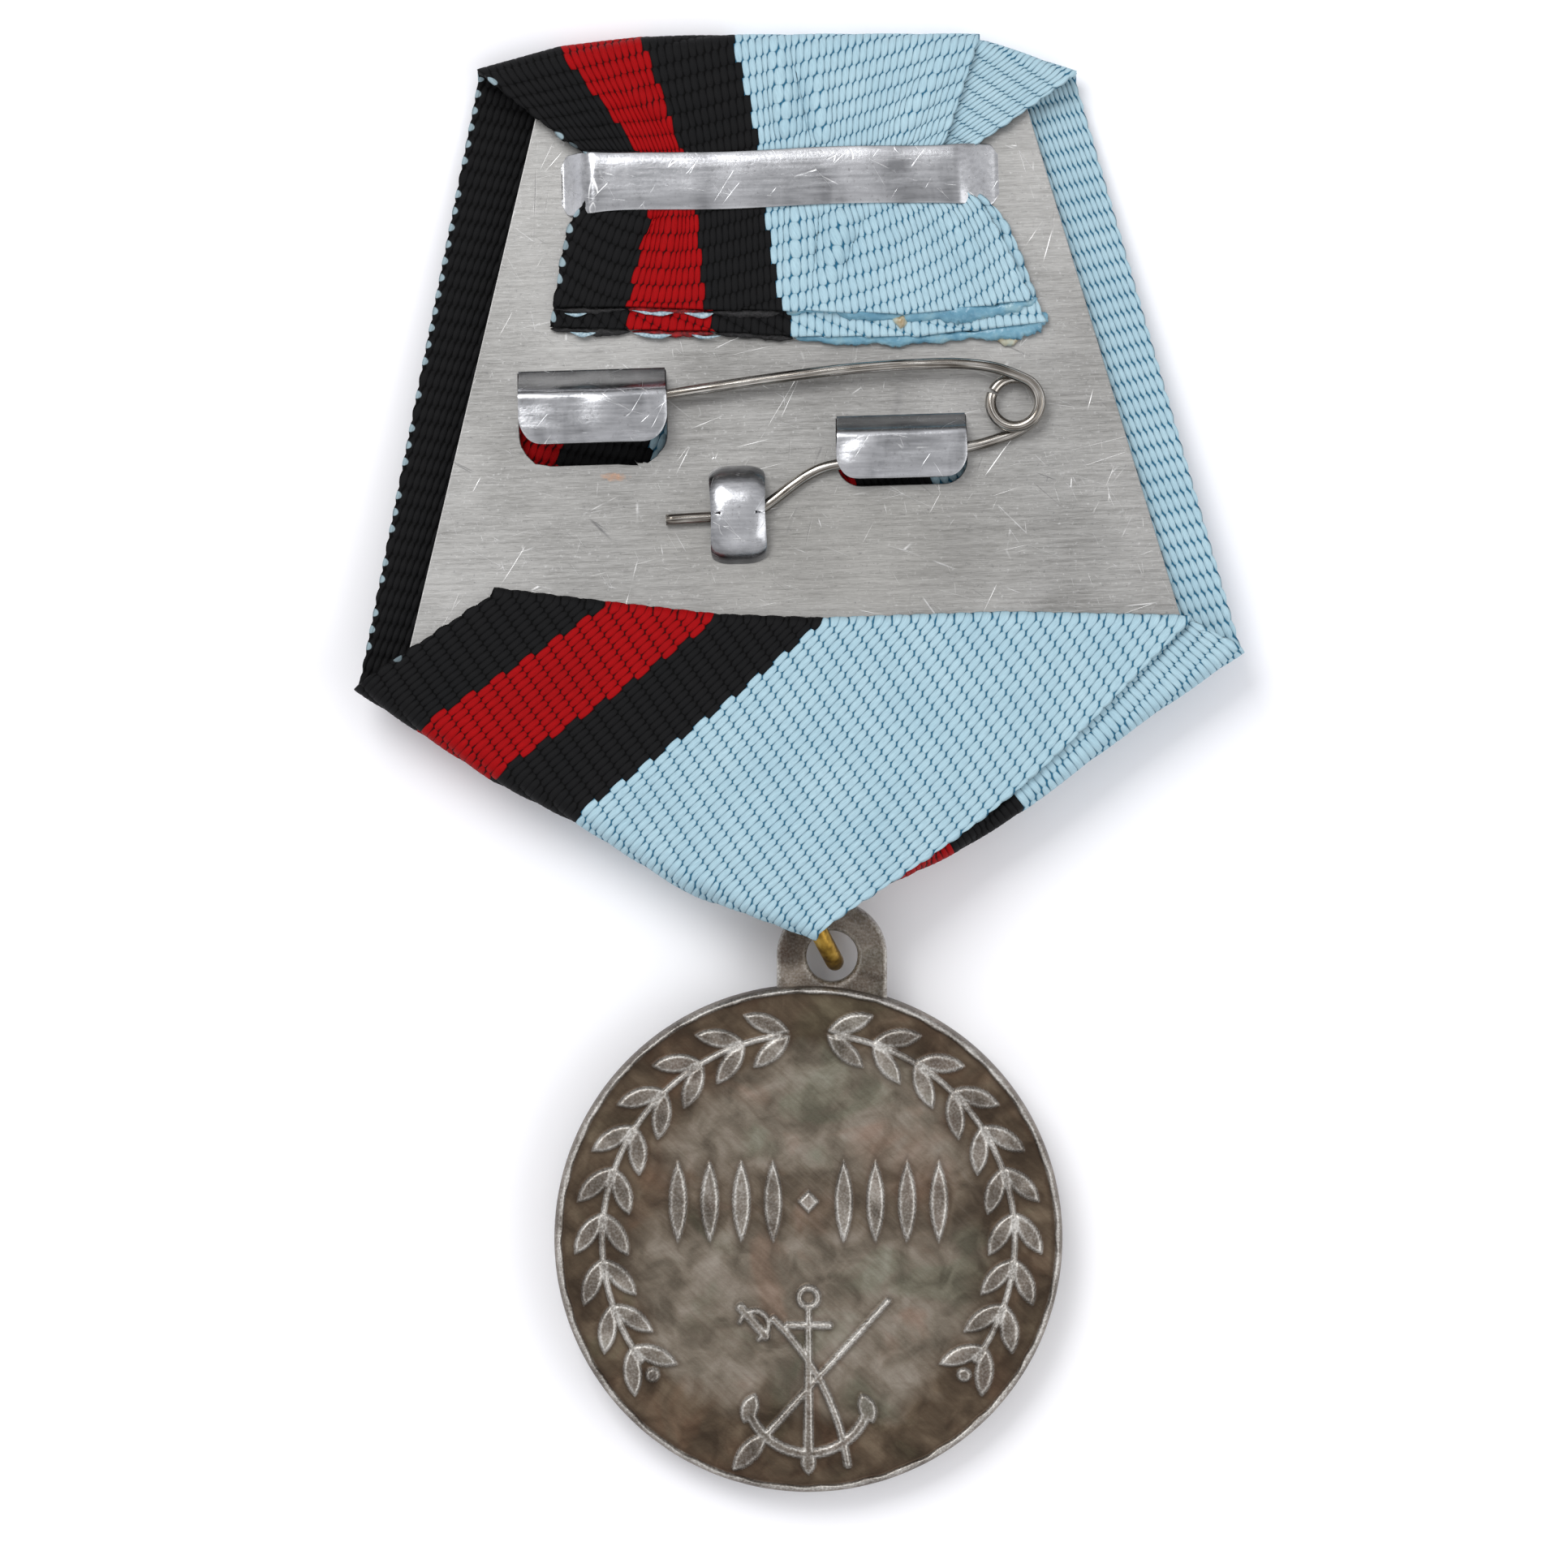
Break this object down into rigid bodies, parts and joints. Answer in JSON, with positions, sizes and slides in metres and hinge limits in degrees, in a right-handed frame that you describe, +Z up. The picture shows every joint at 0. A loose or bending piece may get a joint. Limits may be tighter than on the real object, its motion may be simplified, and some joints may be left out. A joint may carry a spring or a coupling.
{
  "type": "military service medal",
  "caption": "Round service medal with a lug and ring, hung from a folded ribbon block with a metal backing plate and a safety pin.",
  "frame": {"origin": "the middle of the box's base, on the surface that the medal lies on, back up", "axes": "+Z up, out of the medal's back; +Y from the disc to the ribbon block's top edge; +X to the right seen from the back"},
  "size_m": [0.0485, 0.0804, 0.0075],
  "materials": {
    "plate_metal": "brushed and scratched",
    "ribbon_cloth": "ribbed grosgrain in black, red and light blue stripes",
    "pin_wire": "bright drawn wire",
    "ring_wire": "dull brass wire",
    "medal_metal": "patinated silver with worn bright edges"
  },
  "bodies": {
    "suspension": {"backing_plate": "plate_metal", "ribbon": "ribbon_cloth", "pin_spring": "pin_wire"},
    "needle": {"pin_needle": "pin_wire"},
    "ring": {"suspension_ring": "ring_wire"},
    "medal": {"medal_disc": "medal_metal"}
  },
  "joints": [
    {"name": "needle_swing", "type": "hinge", "parent": "suspension", "child": "needle", "pos_m": [0.01196, 0.02005, 0.00345], "axis": [0, 0.0698, 0.9976], "range_deg": [0, 9], "stiffness_Nm_per_rad": 0.002},
    {"name": "ring_swing", "type": "hinge", "parent": "suspension", "child": "ring", "pos_m": [-0.00015, -0.00675, 0.00437], "axis": [0, 0.0698, 0.9976], "range_deg": [-35, 25]},
    {"name": "medal_swing", "type": "hinge", "parent": "ring", "child": "medal", "pos_m": [0.00083, -0.0086, 0.003], "axis": [-0.8829, -0.4695, 0], "range_deg": [-45, 30]}
  ]
}
